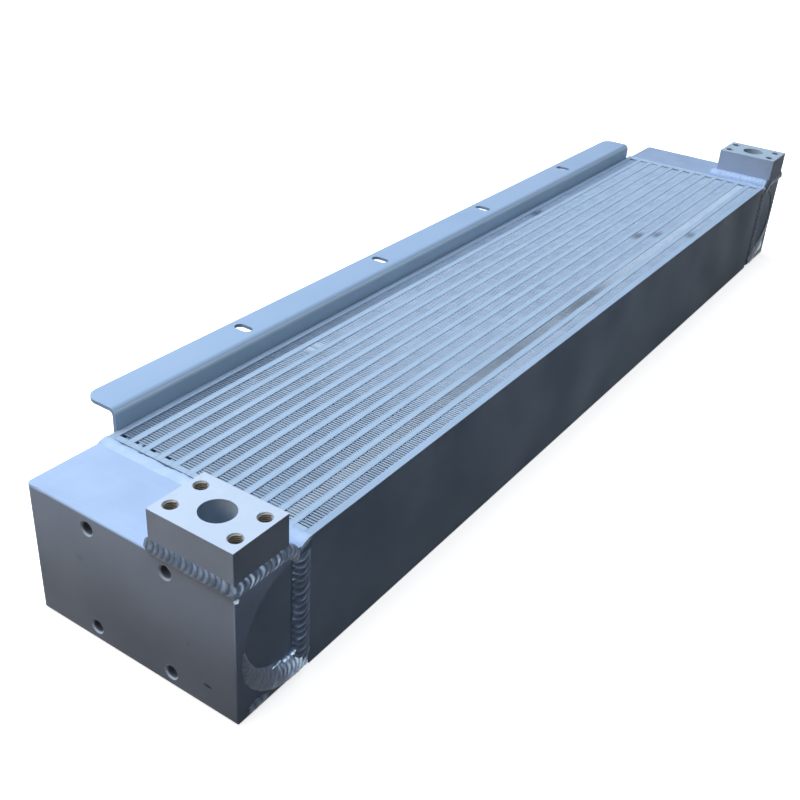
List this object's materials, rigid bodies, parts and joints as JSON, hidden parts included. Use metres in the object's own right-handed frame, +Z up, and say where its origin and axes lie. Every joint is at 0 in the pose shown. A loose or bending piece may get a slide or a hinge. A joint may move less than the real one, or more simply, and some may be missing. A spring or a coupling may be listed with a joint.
{
  "type": "oil cooler",
  "caption": "Long rectangular bar and plate oil cooler with a square tank at each end, a bolted port block on each tank and a slotted mounting flange along one side.",
  "frame": {"origin": "under the middle of the part's overall box, on the plane that the cooler lies on", "axes": "+X along the core from the near tank to the far tank, +Y from the plain side plate to the flange, +Z up through the core to the port faces"},
  "size_m": [1.066, 0.221, 0.1395],
  "materials": {
    "tank_plate": "satin milled extrusion, lightly stained",
    "cap_plate": "satin plate with a ground edge",
    "machined_block": "fine milled, sharp edged",
    "side_plate": "satin sheet, faint smudges",
    "flange_sheet": "satin bent sheet",
    "air_fin": "thin bright foil, dull after brazing",
    "turbulator": "thin bright foil",
    "core_bar": "satin, brazed",
    "parting_sheet": "satin clad sheet, brazed",
    "weld_bead": "rippled, half bright"
  },
  "bodies": {
    "root": {"near_tank": "tank_plate", "far_tank": "tank_plate", "near_front_cap": "cap_plate", "near_back_cap": "cap_plate", "far_front_cap": "cap_plate", "far_back_cap": "cap_plate", "near_port_block": "machined_block", "far_port_block": "machined_block", "front_side_plate": "side_plate", "back_side_plate": "side_plate", "mounting_flange": "flange_sheet", "air_fin_01": "air_fin", "air_fin_02": "air_fin", "air_fin_03": "air_fin", "air_fin_04": "air_fin", "air_fin_05": "air_fin", "air_fin_06": "air_fin", "air_fin_07": "air_fin", "air_fin_08": "air_fin", "air_fin_09": "air_fin", "air_fin_10": "air_fin", "air_fin_11": "air_fin", "air_fin_12": "air_fin", "oil_turbulator_01": "turbulator", "oil_turbulator_02": "turbulator", "oil_turbulator_03": "turbulator", "oil_turbulator_04": "turbulator", "oil_turbulator_05": "turbulator", "oil_turbulator_06": "turbulator", "oil_turbulator_07": "turbulator", "oil_turbulator_08": "turbulator", "oil_turbulator_09": "turbulator", "oil_turbulator_10": "turbulator", "oil_turbulator_11": "turbulator", "oil_bars_01": "core_bar", "oil_bars_02": "core_bar", "oil_bars_03": "core_bar", "oil_bars_04": "core_bar", "oil_bars_05": "core_bar", "oil_bars_06": "core_bar", "oil_bars_07": "core_bar", "oil_bars_08": "core_bar", "oil_bars_09": "core_bar", "oil_bars_10": "core_bar", "oil_bars_11": "core_bar", "near_air_bars": "core_bar", "far_air_bars": "core_bar", "parting_sheets": "parting_sheet", "near_tank_weld": "weld_bead", "far_tank_weld": "weld_bead", "near_port_weld": "weld_bead", "far_port_weld": "weld_bead", "near_cap_welds": "weld_bead", "far_cap_welds": "weld_bead", "flange_welds": "weld_bead"}
  },
  "joints": []
}
